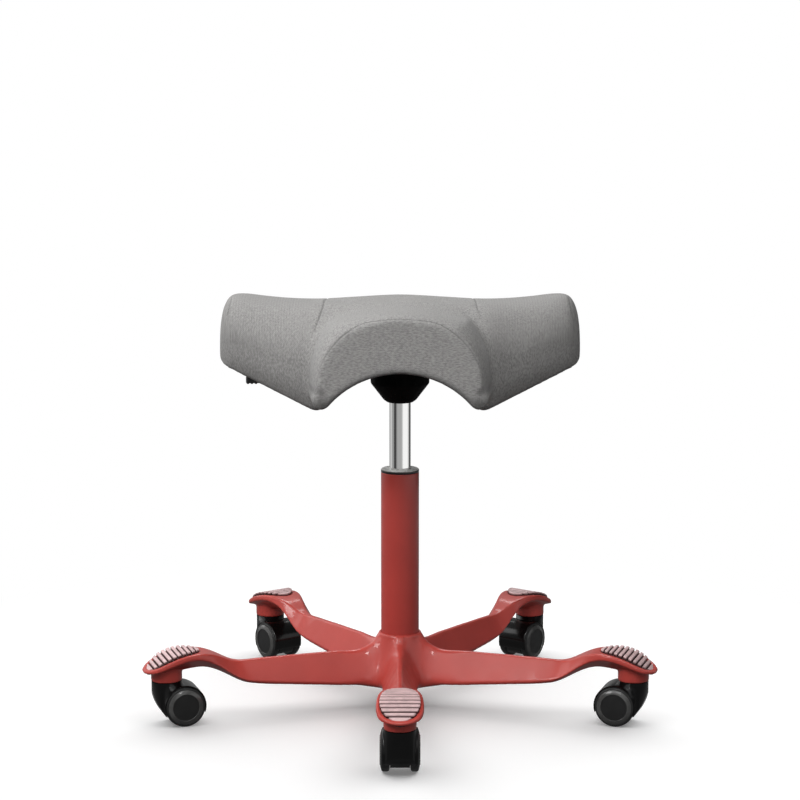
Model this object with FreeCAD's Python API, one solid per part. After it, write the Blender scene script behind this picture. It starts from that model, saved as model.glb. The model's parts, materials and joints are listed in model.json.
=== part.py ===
import FreeCAD, Part
import math
import os
from FreeCAD import Vector

# Saddle chair in millimetres: origin on the floor under the column, +Z up, front towards -Y.

# Star base
arm_angles = [-90.0, -18.0, 54.0, 126.0, 198.0]
socket_reach = 316.0
socket_radius = 20.0
socket_bottom = 58.5
socket_top = 84.0
hub_bottom = 30.0
hub_top = 99.0
hub_lip_radius = 28.6
hub_lip_bevel = 2.0
hub_foot_radius = 50.0
hub_foot_height = 4.0
hub_waist = (36.5, 66.0)
# Each arm station: distance from the column, then half width and height of ridge, edge and keel
arm_stations = [
    (24.0, 4.5, 98.0, 31.0, 37.5, 29.0, 30.5),
    (31.5, 4.3, 94.6, 29.4, 37.5, 27.6, 30.9),
    (35.0, 4.2, 90.6, 28.8, 37.5, 27.0, 31.1),
    (41.0, 4.0, 86.0, 27.7, 37.5, 26.1, 31.5),
    (52.0, 3.7, 81.2, 26.2, 37.8, 24.7, 32.4),
    (66.0, 3.5, 79.7, 24.8, 39.0, 23.4, 34.0),
    (82.0, 3.2, 78.8, 23.6, 40.6, 22.2, 36.2),
    (98.0, 3.1, 78.4, 22.9, 42.2, 21.4, 38.0),
    (114.0, 3.0, 78.2, 22.3, 43.7, 20.8, 39.6),
    (138.0, 3.0, 78.1, 21.6, 45.9, 20.0, 41.9),
    (162.0, 3.0, 78.0, 21.1, 48.1, 19.2, 44.1),
    (186.0, 3.0, 77.8, 20.7, 50.5, 18.2, 46.3),
    (202.0, 3.1, 77.4, 20.5, 52.5, 17.0, 48.3),
    (216.0, 3.6, 76.9, 20.3, 55.2, 15.0, 51.0),
    (230.0, 6.0, 79.0, 20.2, 62.0, 11.0, 57.2),
    (248.0, 12.0, 87.0, 20.4, 74.5, 7.5, 66.8),
    (267.0, 19.5, 93.4, 22.6, 84.6, 7.0, 73.3),
    (287.0, 25.6, 94.3, 27.0, 88.0, 8.5, 73.3),
    (305.0, 28.2, 91.5, 29.2, 84.6, 10.5, 71.8),
    (322.0, 28.2, 85.4, 29.0, 78.8, 12.0, 70.9),
    (335.0, 24.0, 79.0, 24.8, 73.8, 10.0, 70.0),
    (342.5, 15.5, 75.6, 16.2, 72.0, 6.0, 69.6),
    (346.5, 7.5, 73.8, 8.0, 71.8, 2.5, 70.2),
]
# Hollow under each arm: distance, half width and height of its roof, half width of its mouth
channel_stations = [
    (70.0, 4.0, 66.0, 17.0),
    (130.0, 3.0, 65.0, 15.5),
    (200.0, 3.0, 63.0, 12.5),
]
channel_mouth_z = 25.0

# Ribbed foot pads, curved over the arm ends
pad_crown_reach = 287.0
pad_crown_z = 96.6
pad_crown_radius = 76.0
pad_thickness = 4.2
pad_start = 273.0
pad_end = 341.5
pad_half_width = 24.8
pad_gap = 0.1
rib_count = 11
groove_width = 2.3
groove_depth = 3.0

# Castors, drawn with the swivel axis at the origin and trailing towards -X
castor_trail = 20.0
wheel_radius = 26.0
rim_radius = 22.9
wheel_inner_face = 12.5
wheel_outer_face = 24.6
wheel_bevel_width = 5.6
wheel_bevel_height = 1.8
wheel_disc_sink = 0.8
wheel_end_gap = 0.3
tyre_edge_round = 3.0
tyre_step = 0.3
axle_radius = 4.0
axle_half_length = 21.5
running_gap = 0.05
press_gap = 0.02
hood_width = 47.0
hood_outer_radius = 27.8
hood_inner_radius = 26.5
hood_shoulder = 5.0
hood_web_half = 12.1
hood_web_radius = 24.5
hood_web_bottom = 9.0
hood_neck_radius = 19.5
hood_neck_top = 58.2
hood_front_end_angle = 24.0
hood_rear_end_angle = 17.0
hood_beak_z = 46.0
hood_beak_middle = (13.0, 27.6)
stem_radius = 5.5
stem_bottom = 37.0
stem_hole_bottom = 36.0
stem_end_gap = 1.0
grip_ring_radius = 7.0
grip_ring_low = 66.0
grip_ring_high = 72.0

# Column and gas spring
tube_radius = 25.0
tube_wall = 2.0
tube_bottom = 27.0
tube_plate = 4.0
tube_top = 313.0
collar_top = 316.5
collar_bore = 19.0
cap_top = 319.0
cap_rim_radius = 24.6
cap_lip_radius = 16.5
cap_bore_gap = 0.4
cap_bulge_inset = 0.9
bush_length = 80.0
slide_radius = 14.0
slide_wall = 1.5
slide_bottom = 135.0
slide_top = 449.5
rod_radius = 5.0
rod_bottom = 20.0
rod_top = 292.0
piston_height = 12.0
clip_low = 23.5
clip_high = 26.5
clip_radius = 9.5
washer_radius = 15.0
washer_height = 2.0
ball_radius = 2.0
ball_count = 14
ball_ring_radius = 11.0
bump_stop_height = 13.0
bump_stop_radius = 17.0
rod_guide_height = 20.0
valve_height = 40.0
pin_radius = 4.0
pin_height = 32.0
pin_top = 453.7
pin_bottom_gap = 4.0

# Seat mechanism and height lever
housing_bottom = 405.5
housing_nose_radius = 16.6
housing_knee = (21.5, 409.0)
housing_shoulder = (38.4, 431.0)
housing_top = 464.0
lever_slot_floor = 449.5
lever_slot_half = 7.0
lever_slot_end = 14.0
bracket_length = 110.0
bracket_width = 100.0
bracket_thickness = 3.0
bracket_corner = 12.0
screw_spacing_x = 76.0
screw_spacing_y = 84.0
screw_radius = 3.0
screw_head_radius = 5.5
screw_head_height = 4.0
screw_hole_gap = 0.1
lever_radius = 4.0
lever_height = 458.3
lever_pivot_x = -24.0
lever_pin_radius = 2.5
lever_pin_half = 16.0
lever_route = [(9.0, lever_height), (-36.0, lever_height), (-90.0, 436.0), (-160.0, 436.0)]
grip_inner_end = -146.0
grip_outer_end = -200.5
grip_half_width = 13.0
grip_height = 8.0
grip_corner = 6.0
grip_rib_count = 3
grip_rib_pitch = 5.2
grip_rib_radius = 2.2

# Saddle: wing stations give X, then front edge, flap root and rear edge in Y, then flap edge and crest in Z
underside_z = 467.0
wing_stations = [
    (0.0, -112.0, -74.0, 178.0, 466.0, 545.0),
    (58.0, -112.0, -68.0, 176.0, 453.0, 542.2),
    (82.0, -113.5, -31.0, 172.0, 430.0, 541.0),
    (104.0, -114.0, 2.0, 166.0, 410.0, 540.3),
    (115.5, -109.2, -1.8, 162.0, 412.1, 540.15),
    (127.0, -103.0, -5.0, 157.5, 417.0, 540.2),
    (138.5, -96.6, -7.7, 153.0, 421.9, 540.5),
    (150.0, -90.0, -10.0, 148.0, 426.7, 541.0),
    (161.5, -83.6, -11.8, 141.5, 431.6, 541.9),
    (173.0, -77.0, -13.3, 134.0, 436.5, 543.0),
    (184.5, -70.6, -14.6, 126.7, 441.4, 544.4),
    (196.0, -64.0, -15.0, 119.0, 446.2, 545.8),
    (207.0, -57.0, -13.2, 109.5, 450.8, 546.4),
    (218.0, -49.0, -9.0, 98.0, 455.2, 545.0),
    (228.0, -34.0, -1.0, 84.0, 459.0, 532.0),
    (231.0, -26.5, 4.0, 76.5, 461.4, 521.5),
    (233.0, -18.0, 10.0, 66.0, 466.0, 508.0),
]
# Curve of a wing section: shares of its depth from the front, or of its height from the flap edge
foot_back = 0.045
bulge_back = 0.012
bulge_rise = 0.13
face_rise = 0.36
brow_back = 0.075
brow_rise = 0.82
top_front_back = 0.25
top_middle_back = 0.42
top_rear_back = 0.90
top_rear_fall = 0.125
heel_back = 0.985
flap_back_share = 0.4
# Fall of the top towards the front, and rise of the flap behind its edge
top_front_fall = 1.0
flap_rise = 0.5
# Front of the saddle: Y, then growth of the outline sideways and upwards
pommel_stations = [
    (-187.0, -2.5, -2.0),
    (-178.0, 1.0, 0.8),
    (-130.0, 9.0, 4.0),
    (-70.0, 13.0, 7.0),
]
pommel_top = 537.0
pommel_shoulder = (68.0, 522.7)
pommel_side = (95.0, 492.0)
pommel_cheek = (103.0, 446.0)
pommel_corner = (99.0, 423.3)
arch_foot = (89.2, 426.6)
arch_crown = 468.4
# Shares of the sideways growth that the shoulder, corner and arch foot take
shoulder_growth = 1.8
corner_growth = 0.6
arch_growth = -0.3
cover_thickness = 3.0
pan_half_length = 165.0
pan_front = 16.0
pan_rear = 122.0
pan_corner = 40.0
pan_tongue_half = 52.0
pan_tongue_front = -60.0
pan_tongue_corner = 12.0
pan_thickness = 5.0
pan_recess_low = 400.0


def tube(outer, inner, low, high):
    height = high - low
    wall = Part.makeCylinder(outer, height, Vector(0, 0, low))
    return wall.cut(Part.makeCylinder(inner, height, Vector(0, 0, low)))


def cross_cylinder(radius, start, end, x=0.0, z=0.0):
    return Part.makeCylinder(radius, end - start, Vector(x, start, z), Vector(0, 1, 0))


def box_between(low, high):
    size = Vector(*high) - Vector(*low)
    return Part.makeBox(size.x, size.y, size.z, Vector(*low))


def line(start, end):
    return Part.LineSegment(start, end).toShape()


def arc(start, middle, end):
    return Part.Arc(start, middle, end).toShape()


def tangent_arc(start, direction, end):
    chord = end - start
    turn = direction.getAngle(chord)
    outward = direction - chord * (direction.dot(chord) / chord.dot(chord))
    outward.normalize()
    middle = (start + end) / 2 + outward * (chord.Length / 2 * math.tan(turn / 2))
    return arc(start, middle, end)


def turned(edges):
    face = Part.Face(Part.Wire(edges))
    return face.revolve(Vector(0, 0, 0), Vector(0, 0, 1), 360)


def turned_polygon(points):
    corners = [Vector(radius, 0, z) for radius, z in points]
    return turned(Part.makePolygon(corners + corners[:1]).Edges)


def rotated(shape, angle):
    copy = shape.copy()
    copy.rotate(Vector(0, 0, 0), Vector(0, 0, 1), angle)
    return copy


def at_socket(shape, angle):
    copy = shape.copy()
    copy.translate(Vector(socket_reach, 0, 0))
    return rotated(copy, angle)


def rounded_plate(low, high, radius):
    plate = box_between(low, high)
    upright = [edge for edge in plate.Edges if abs(edge.tangentAt(edge.FirstParameter).z) > 0.99]
    return plate.makeFillet(radius, upright)


# Base

def arm_section(station):
    reach, ridge, ridge_z, edge, edge_z, keel, keel_z = station
    half = [(ridge, ridge_z), (edge, edge_z), (keel, keel_z)]
    points = [Vector(reach, y, z) for y, z in half]
    points += [Vector(reach, -y, z) for y, z in reversed(half)]
    return Part.makePolygon(points + points[:1])


def channel_section(station):
    reach, roof, roof_z, mouth = station
    points = [
        Vector(reach, -mouth, channel_mouth_z),
        Vector(reach, mouth, channel_mouth_z),
        Vector(reach, roof, roof_z),
        Vector(reach, -roof, roof_z),
    ]
    return Part.makePolygon(points + points[:1])


def pad_outline(gap):
    centre = Vector(pad_end - pad_half_width, 0, socket_bottom)
    half = pad_half_width + gap
    oval = Part.Ellipse(centre, centre.x - pad_start + gap, half)
    inner = Part.Arc(oval, math.pi / 2, 3 * math.pi / 2)
    outer = arc(centre - Vector(0, half, 0), centre + Vector(half, 0, 0), centre + Vector(0, half, 0))
    rim = Part.Wire([inner.toShape(), outer])
    return Part.Face(rim).extrude(Vector(0, 0, hub_top + pad_crown_radius))


def pad_curve(radius):
    centre_z = pad_crown_z - pad_crown_radius
    return cross_cylinder(radius, -hood_width, hood_width, pad_crown_reach, centre_z)


def footrest_pad():
    slab = pad_outline(0.0).common(pad_curve(pad_crown_radius))
    slab = slab.cut(pad_curve(pad_crown_radius - pad_thickness))
    centre = Vector(pad_crown_reach, 0, pad_crown_z - pad_crown_radius)
    first = math.asin((pad_start - pad_crown_reach) / pad_crown_radius)
    last = math.asin((pad_end - pad_crown_reach) / pad_crown_radius)
    pitch = (last - first) / rib_count
    for number in range(1, rib_count):
        groove = box_between(
            (-groove_width / 2, -hood_width, pad_crown_radius - groove_depth),
            (groove_width / 2, hood_width, pad_crown_radius + groove_depth))
        groove.rotate(Vector(0, 0, 0), Vector(0, 1, 0), math.degrees(first + number * pitch))
        groove.translate(centre)
        slab = slab.cut(groove)
    return slab


def star_base():
    arm = Part.makeLoft([arm_section(station) for station in arm_stations], True, False)
    socket_foot = Vector(socket_reach, 0, socket_bottom)
    socket = Part.makeCylinder(socket_radius, socket_top - socket_bottom, socket_foot)
    arm = arm.fuse(socket)
    arm = arm.cut(Part.makeLoft([channel_section(station) for station in channel_stations], True, False))
    recess = pad_outline(pad_gap).cut(pad_curve(pad_crown_radius - pad_thickness - pad_gap))
    arm = arm.cut(recess)
    stem_hole = Part.makeCylinder(stem_radius + press_gap, socket_top, Vector(socket_reach, 0, 0))
    ring_hole = Part.makeCylinder(
        grip_ring_radius + press_gap, grip_ring_high - grip_ring_low, Vector(socket_reach, 0, grip_ring_low))
    arm = arm.cut(stem_hole).cut(ring_hole)
    foot_top = Vector(hub_foot_radius, 0, hub_bottom + hub_foot_height)
    waist = Vector(hub_waist[0], 0, hub_waist[1])
    lip = Vector(hub_lip_radius, 0, hub_top - hub_lip_bevel)
    lip_top = Vector(hub_lip_radius - hub_lip_bevel, 0, hub_top)
    bore = tube_radius + press_gap
    hub_edges = [
        line(Vector(0, 0, hub_bottom), Vector(hub_foot_radius, 0, hub_bottom)),
        line(Vector(hub_foot_radius, 0, hub_bottom), foot_top),
        arc(foot_top, waist, lip),
        line(lip, lip_top),
        line(lip_top, Vector(0, 0, hub_top)),
        line(Vector(0, 0, hub_top), Vector(0, 0, hub_bottom)),
    ]
    base = turned(hub_edges)
    for angle in arm_angles:
        base = base.fuse(rotated(arm, angle))
    return base.cut(Part.makeCylinder(bore, hub_top))


# Castors

def castor_hood():
    axle_z = wheel_radius
    front = math.radians(hood_front_end_angle)
    rear = math.radians(180.0 - hood_rear_end_angle)
    front_end, rear_end = [
        Vector(
            hood_outer_radius * math.cos(turn) - castor_trail,
            -hood_width,
            axle_z - hood_outer_radius * math.sin(turn))
        for turn in (front, rear)]
    crown = Vector(-castor_trail, -hood_width, axle_z + hood_outer_radius)
    neck_left = Vector(-castor_trail, -hood_width, hood_neck_top)
    neck_right = Vector(hood_neck_radius, -hood_width, hood_neck_top)
    beak_top = Vector(hood_neck_radius, -hood_width, hood_beak_z)
    beak_middle = Vector(hood_beak_middle[0], -hood_width, hood_beak_middle[1])
    hidden_side = Vector(-castor_trail - hood_outer_radius, -hood_width, axle_z)
    outline = Part.Wire([
        arc(rear_end, hidden_side, crown),
        line(crown, neck_left),
        line(neck_left, neck_right),
        line(neck_right, beak_top),
        arc(beak_top, beak_middle, front_end),
        line(front_end, rear_end),
    ])
    side_view = Part.Face(outline).extrude(Vector(0, 2 * hood_width, 0))
    neck = Part.makeCylinder(hood_neck_radius, hood_neck_top).common(side_view)
    half = hood_width / 2
    drum = cross_cylinder(hood_outer_radius, -half, half, -castor_trail, axle_z)
    rims = [edge for edge in drum.Edges if edge.Curve.TypeId == "Part::GeomCircle"]
    drum = drum.makeFillet(hood_shoulder, rims).common(side_view)
    hood = neck.fuse(drum)
    for side in (-1, 1):
        start, end = sorted((side * hood_web_half, side * (half + 1)))
        hood = hood.cut(cross_cylinder(hood_inner_radius, start, end, -castor_trail, axle_z))
    web = cross_cylinder(hood_web_radius, -hood_web_half, hood_web_half, -castor_trail, axle_z)
    hood = hood.fuse(web.common(box_between(
        (-castor_trail - hood_outer_radius, -hood_width, hood_web_bottom),
        (hood_outer_radius, hood_width, hood_neck_top))))
    hood = hood.cut(cross_cylinder(axle_radius + press_gap, -half, half, -castor_trail, axle_z))
    stem_hole = Part.makeCylinder(
        stem_radius + running_gap, hood_neck_top - stem_hole_bottom, Vector(0, 0, stem_hole_bottom))
    return hood.cut(stem_hole).removeSplitter()


def castor_axle():
    return cross_cylinder(axle_radius, -axle_half_length, axle_half_length, -castor_trail, wheel_radius)


def spun_about_axle(profile, side):
    points = [Vector(radius, side * y, 0) for radius, y in profile]
    face = Part.Face(Part.makePolygon(points + points[:1]))
    solid = face.revolve(Vector(0, 0, 0), Vector(0, 1, 0), 360)
    solid.translate(Vector(-castor_trail, 0, wheel_radius))
    return solid


def castor_wheel(side):
    bore = axle_radius + running_gap
    blind_end = axle_half_length + wheel_end_gap
    disc_radius = rim_radius - wheel_bevel_width
    disc_face = wheel_outer_face - wheel_disc_sink
    return spun_about_axle([
        (bore, wheel_inner_face),
        (rim_radius, wheel_inner_face),
        (rim_radius, wheel_outer_face - wheel_bevel_height),
        (disc_radius, wheel_outer_face),
        (disc_radius - wheel_disc_sink, disc_face),
        (0.0, disc_face),
        (0.0, blind_end),
        (bore, blind_end),
    ], side)


def castor_tyre(side):
    inner = wheel_inner_face + tyre_step
    outer = wheel_outer_face - wheel_bevel_height
    return spun_about_axle([
        (rim_radius, inner),
        (wheel_radius - tyre_edge_round, inner),
        (wheel_radius, inner + tyre_edge_round),
        (wheel_radius, outer - tyre_edge_round),
        (wheel_radius - tyre_edge_round, outer),
        (rim_radius, outer),
    ], side)


def castor_stem_and_ring():
    stem = Part.makeCylinder(stem_radius, socket_top - stem_bottom - stem_end_gap, Vector(0, 0, stem_bottom))
    ring = tube(grip_ring_radius, stem_radius, grip_ring_low, grip_ring_high)
    return [stem, ring]


# Column and gas spring

def stand_tube():
    wall = tube(tube_radius, tube_radius - tube_wall, tube_bottom, tube_top)
    plate = tube(tube_radius, rod_radius + running_gap, tube_bottom, tube_bottom + tube_plate)
    return wall.fuse(plate).removeSplitter()


def column_cap():
    bore = slide_radius + cap_bore_gap
    rim = Vector(cap_rim_radius, 0, collar_top)
    lip = Vector(cap_lip_radius, 0, cap_top)
    bulge = Vector(cap_rim_radius - cap_bulge_inset, 0, cap_top - cap_bulge_inset)
    return turned([
        line(Vector(bore, 0, collar_top), rim),
        arc(rim, bulge, lip),
        line(lip, Vector(bore, 0, cap_top)),
        line(Vector(bore, 0, cap_top), Vector(bore, 0, collar_top)),
    ])


def guide_bush():
    bore = slide_radius + running_gap
    outer = tube_radius - tube_wall - press_gap
    neck = collar_bore - press_gap
    return turned_polygon([
        (bore, tube_top - bush_length),
        (outer, tube_top - bush_length),
        (outer, tube_top),
        (neck, tube_top),
        (neck, collar_top),
        (bore, collar_top),
    ])


def thrust_bearing_lower(washer_low):
    solids = [tube(washer_radius, rod_radius + running_gap, washer_low, washer_low + washer_height)]
    ball_z = washer_low + washer_height + ball_radius
    for number in range(ball_count):
        turn = 2 * math.pi * number / ball_count
        centre = Vector(ball_ring_radius * math.cos(turn), ball_ring_radius * math.sin(turn), ball_z)
        solids.append(Part.makeSphere(ball_radius, centre))
    return Part.makeCompound(solids)


def valve_body():
    low = slide_top - valve_height
    body = Part.makeCylinder(slide_radius - slide_wall, valve_height, Vector(0, 0, low))
    way_low = pin_top - pin_height - pin_bottom_gap
    way = Part.makeCylinder(pin_radius + running_gap, valve_height, Vector(0, 0, way_low))
    return body.cut(way)


def mechanism_housing():
    bore = slide_radius + press_gap
    housing = turned_polygon([
        (bore, housing_bottom),
        (housing_nose_radius, housing_bottom),
        housing_knee,
        housing_shoulder,
        (housing_shoulder[0], housing_top),
        (bore, housing_top),
    ])
    slot = box_between(
        (-2 * housing_shoulder[0], -lever_slot_half, lever_slot_floor),
        (lever_slot_end, lever_slot_half, housing_top))
    housing = housing.cut(slot)
    pin_hole = cross_cylinder(
        lever_pin_radius + press_gap, -lever_pin_half, lever_pin_half, lever_pivot_x, lever_height)
    return housing.cut(pin_hole)


def screw_places():
    return [(x * screw_spacing_x / 2, y * screw_spacing_y / 2) for x in (-1, 1) for y in (-1, 1)]


def with_screw_holes(shape, low, high):
    for x, y in screw_places():
        shape = shape.cut(Part.makeCylinder(screw_radius + screw_hole_gap, high - low, Vector(x, y, low)))
    return shape


def seat_bracket():
    low = housing_top
    high = low + bracket_thickness
    half_x = bracket_width / 2
    half_y = bracket_length / 2
    plate = rounded_plate((-half_x, -half_y, low), (half_x, half_y, high), bracket_corner)
    return with_screw_holes(plate, low, high)


def seat_screws():
    screws = []
    for x, y in screw_places():
        head_low = housing_top - screw_head_height
        shank_top = underside_z + pan_thickness
        head = Part.makeCylinder(screw_head_radius, screw_head_height, Vector(x, y, head_low))
        shank = Part.makeCylinder(screw_radius, shank_top - head_low, Vector(x, y, head_low))
        screws.append(head.fuse(shank).removeSplitter())
    return Part.makeCompound(screws)


def height_lever():
    lever = None
    for start, end in zip(lever_route, lever_route[1:]):
        base = Vector(start[0], 0, start[1])
        run = Vector(end[0], 0, end[1]) - base
        bar = Part.makeCylinder(lever_radius, run.Length, base, run)
        lever = bar if lever is None else lever.fuse(bar).fuse(Part.makeSphere(lever_radius, base))
    pin_hole = cross_cylinder(
        lever_pin_radius + running_gap, -lever_pin_half, lever_pin_half, lever_pivot_x, lever_height)
    return lever.cut(pin_hole)


def lever_grip():
    end_z = lever_route[-1][1]
    low = (grip_outer_end, -grip_half_width, end_z - grip_height / 2)
    high = (grip_inner_end, grip_half_width, end_z + grip_height / 2)
    grip = rounded_plate(low, high, grip_corner)
    for number in range(grip_rib_count):
        rib_x = grip_outer_end + (number + 0.5) * grip_rib_pitch
        half = grip_half_width - grip_corner
        grip = grip.fuse(cross_cylinder(grip_rib_radius, -half, half, rib_x, low[2]))
    socket_depth = lever_route[-1][0] - grip_inner_end
    hole = Part.makeCylinder(
        lever_radius, -socket_depth, Vector(grip_inner_end, 0, end_z), Vector(-1, 0, 0))
    return grip.cut(hole).removeSplitter()


# Seat

def wing_section(x, station, inset):
    front = station[1] + inset
    root = station[2] + inset
    rear = station[3] - inset
    flap = station[4] + inset
    crest = station[5] - inset
    under = max(underside_z + inset, flap + 1.0)
    depth = rear - front
    height = crest - flap
    foot = Vector(x, front + foot_back * depth, flap)
    foot_bulge = Vector(x, front + bulge_back * depth, flap + bulge_rise * height)
    face = Vector(x, front, flap + face_rise * height)
    brow = Vector(x, front + brow_back * depth, flap + brow_rise * height)
    top_front = Vector(x, front + top_front_back * depth, crest - top_front_fall)
    top_middle = Vector(x, front + top_middle_back * depth, crest)
    top_rear = Vector(x, front + top_rear_back * depth, crest - top_rear_fall * depth)
    top = Part.Arc(top_front, top_middle, top_rear)
    heel = Vector(x, front + heel_back * depth, under)
    flap_root = Vector(x, root, under)
    flap_back = Vector(x, front + flap_back_share * (root - front), flap + flap_rise)
    return Part.Wire([
        arc(foot, foot_bulge, face),
        arc(face, brow, top_front),
        top.toShape(),
        tangent_arc(top_rear, top.tangent(top.LastParameter)[0], heel),
        line(heel, flap_root),
        line(flap_root, flap_back),
        line(flap_back, foot),
    ])


def pommel_section(station, inset):
    y, sideways, upwards = station
    wider = sideways - inset
    higher = upwards - inset
    half = [
        Vector(pommel_shoulder[0] + shoulder_growth * wider, y, pommel_shoulder[1] + higher),
        Vector(pommel_side[0] + wider, y, pommel_side[1] + higher),
        Vector(pommel_cheek[0] + wider, y, pommel_cheek[1]),
        Vector(pommel_corner[0] + corner_growth * wider, y, pommel_corner[1] + inset),
        Vector(arch_foot[0] + arch_growth * wider, y, arch_foot[1] + inset),
    ]
    other = [Vector(-point.x, y, point.z) for point in half]
    top = Vector(0, y, pommel_top + higher)
    crown = Vector(0, y, arch_crown + inset)
    return Part.Wire([
        arc(other[0], top, half[0]),
        arc(half[0], half[1], half[2]),
        arc(half[2], half[3], half[4]),
        arc(half[4], crown, other[4]),
        arc(other[4], other[3], other[2]),
        arc(other[2], other[1], other[0]),
    ])


def saddle(inset):
    right = []
    for station in wing_stations[1:]:
        x = station[0] - inset
        right.append(wing_section(x, station, inset))
    left = []
    for station in reversed(wing_stations[1:]):
        x = inset - station[0]
        left.append(wing_section(x, station, inset))
    middle = [wing_section(0.0, wing_stations[0], inset)]
    wings = Part.makeLoft(left + middle + right, True, False)
    stations = [(pommel_stations[0][0] + inset,) + pommel_stations[0][1:]] + pommel_stations[1:]
    pommel = Part.makeLoft([pommel_section(station, inset) for station in stations], True, False)
    return wings.fuse(pommel)


def seat_pan(low):
    high = underside_z + pan_thickness
    wings = rounded_plate((-pan_half_length, pan_front, low), (pan_half_length, pan_rear, high), pan_corner)
    tongue = rounded_plate(
        (-pan_tongue_half, pan_tongue_front, low), (pan_tongue_half, pan_rear, high), pan_tongue_corner)
    return wings.fuse(tongue).removeSplitter()


def build_parts():
    parts = {}
    parts["star_base"] = star_base()
    pad = footrest_pad()
    hood = castor_hood()
    axle = castor_axle()
    stems = []
    for number, angle in enumerate(arm_angles, start=1):
        parts[f"footrest_pad_{number}"] = rotated(pad, angle)
        parts[f"castor_hood_{number}"] = at_socket(hood, angle)
        parts[f"castor_axle_{number}"] = at_socket(axle, angle)
        for name, side in (("left", 1), ("right", -1)):
            parts[f"wheel_{number}_{name}"] = at_socket(castor_wheel(side), angle)
            parts[f"tyre_{number}_{name}"] = at_socket(castor_tyre(side), angle)
        stems += [at_socket(solid, angle) for solid in castor_stem_and_ring()]
    parts["castor_stems"] = Part.makeCompound(stems)

    rod_way = rod_radius + running_gap
    bore = slide_radius - slide_wall
    washer_low = tube_bottom + tube_plate
    upper_washer_low = washer_low + washer_height + 2 * ball_radius
    stop_low = upper_washer_low + washer_height
    parts["stand_tube"] = stand_tube()
    parts["column_collar"] = tube(tube_radius, collar_bore, tube_top, collar_top)
    parts["column_cap"] = column_cap()
    parts["guide_bush"] = guide_bush()
    parts["thrust_bearing_lower"] = thrust_bearing_lower(washer_low)
    parts["thrust_bearing_upper"] = tube(washer_radius, rod_radius, upper_washer_low, stop_low)
    parts["bump_stop"] = tube(bump_stop_radius, rod_radius, stop_low, stop_low + bump_stop_height)
    parts["piston_rod"] = Part.makeCylinder(rod_radius, rod_top - rod_bottom, Vector(0, 0, rod_bottom))
    parts["rod_clip"] = tube(clip_radius, rod_radius, clip_low, clip_high)
    parts["piston"] = tube(bore - running_gap, rod_radius, rod_top - piston_height, rod_top)
    parts["pressure_tube"] = tube(slide_radius, bore, slide_bottom, slide_top)
    parts["rod_guide"] = tube(bore, rod_way, slide_bottom, slide_bottom + rod_guide_height)
    parts["valve_body"] = valve_body()
    parts["release_pin"] = Part.makeCylinder(pin_radius, pin_height, Vector(0, 0, pin_top - pin_height))

    parts["mechanism_housing"] = mechanism_housing()
    parts["seat_bracket"] = seat_bracket()
    parts["seat_screws"] = seat_screws()
    parts["lever_pin"] = cross_cylinder(
        lever_pin_radius, -lever_pin_half, lever_pin_half, lever_pivot_x, lever_height)
    parts["height_lever"] = height_lever()
    parts["lever_grip"] = lever_grip()
    foam = saddle(cover_thickness)
    recess = seat_pan(pan_recess_low)
    parts["seat_cover"] = saddle(0.0).cut(foam).cut(recess)
    parts["seat_foam"] = foam.cut(recess)
    parts["seat_pan"] = with_screw_holes(seat_pan(underside_z), underside_z, underside_z + pan_thickness)
    return parts


os.makedirs("parts", exist_ok=True)
for name, shape in build_parts().items():
    box = shape.BoundBox
    print(f"{name}: {len(shape.Solids)} solids, valid {shape.isValid()}, volume {shape.Volume:.0f} mm3,",
          f"z {box.ZMin:.1f} to {box.ZMax:.1f}")
    shape.exportStep(f"parts/{name}.step")
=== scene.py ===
import json
import math

import bmesh
import bpy
import numpy as np
from mathutils import Matrix, Vector
from mathutils.bvhtree import BVHTree
from mathutils.kdtree import KDTree


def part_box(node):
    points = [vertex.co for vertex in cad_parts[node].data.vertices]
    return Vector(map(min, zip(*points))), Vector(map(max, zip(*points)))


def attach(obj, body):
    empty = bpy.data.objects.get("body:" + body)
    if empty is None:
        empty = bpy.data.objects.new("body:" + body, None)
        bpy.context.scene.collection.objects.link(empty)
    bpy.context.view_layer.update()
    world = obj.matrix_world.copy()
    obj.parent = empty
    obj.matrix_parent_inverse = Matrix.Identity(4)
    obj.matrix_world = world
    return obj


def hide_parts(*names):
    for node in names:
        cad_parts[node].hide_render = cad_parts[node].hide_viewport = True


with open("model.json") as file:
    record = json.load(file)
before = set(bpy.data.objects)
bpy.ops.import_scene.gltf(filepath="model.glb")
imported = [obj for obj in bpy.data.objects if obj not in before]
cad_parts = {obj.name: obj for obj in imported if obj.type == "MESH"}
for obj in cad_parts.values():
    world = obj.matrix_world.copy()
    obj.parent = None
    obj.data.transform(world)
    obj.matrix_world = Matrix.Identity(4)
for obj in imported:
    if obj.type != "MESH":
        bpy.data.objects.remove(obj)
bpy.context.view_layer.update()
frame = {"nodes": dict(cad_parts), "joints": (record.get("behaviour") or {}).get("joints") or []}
nodes = frame["nodes"]
scene = bpy.context.scene
scene.view_settings.view_transform = "Standard"
sides = ("left", "right")

# where things turn, read from the frame's own joints
joints = {joint["name"]: joint for joint in frame["joints"]}
castorNumbers = sorted(int(name[-1]) for name in joints if name.startswith("castor_swivel_"))
castorTurns = {}
for number in castorNumbers:
    place = joints[f"castor_swivel_{number}"]["pos_m"]
    castorTurns[number] = math.atan2(place[1], place[0])
print("frame loaded:", len(nodes), "nodes,", len(castorNumbers), "castors")

# camera at the photograph's place
view = {"place": (0, -3.1103, 0.8895), "down": math.radians(8.80), "lens": 108.47, "sensor": 36}
cameraData = bpy.data.cameras.new("camera")
cameraData.lens = view["lens"]
cameraData.sensor_width = view["sensor"]
camera = bpy.data.objects.new("camera", cameraData)
camera.location = view["place"]
camera.rotation_euler = (math.pi / 2 - view["down"], 0, 0)
scene.collection.objects.link(camera)
scene.camera = camera


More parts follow.
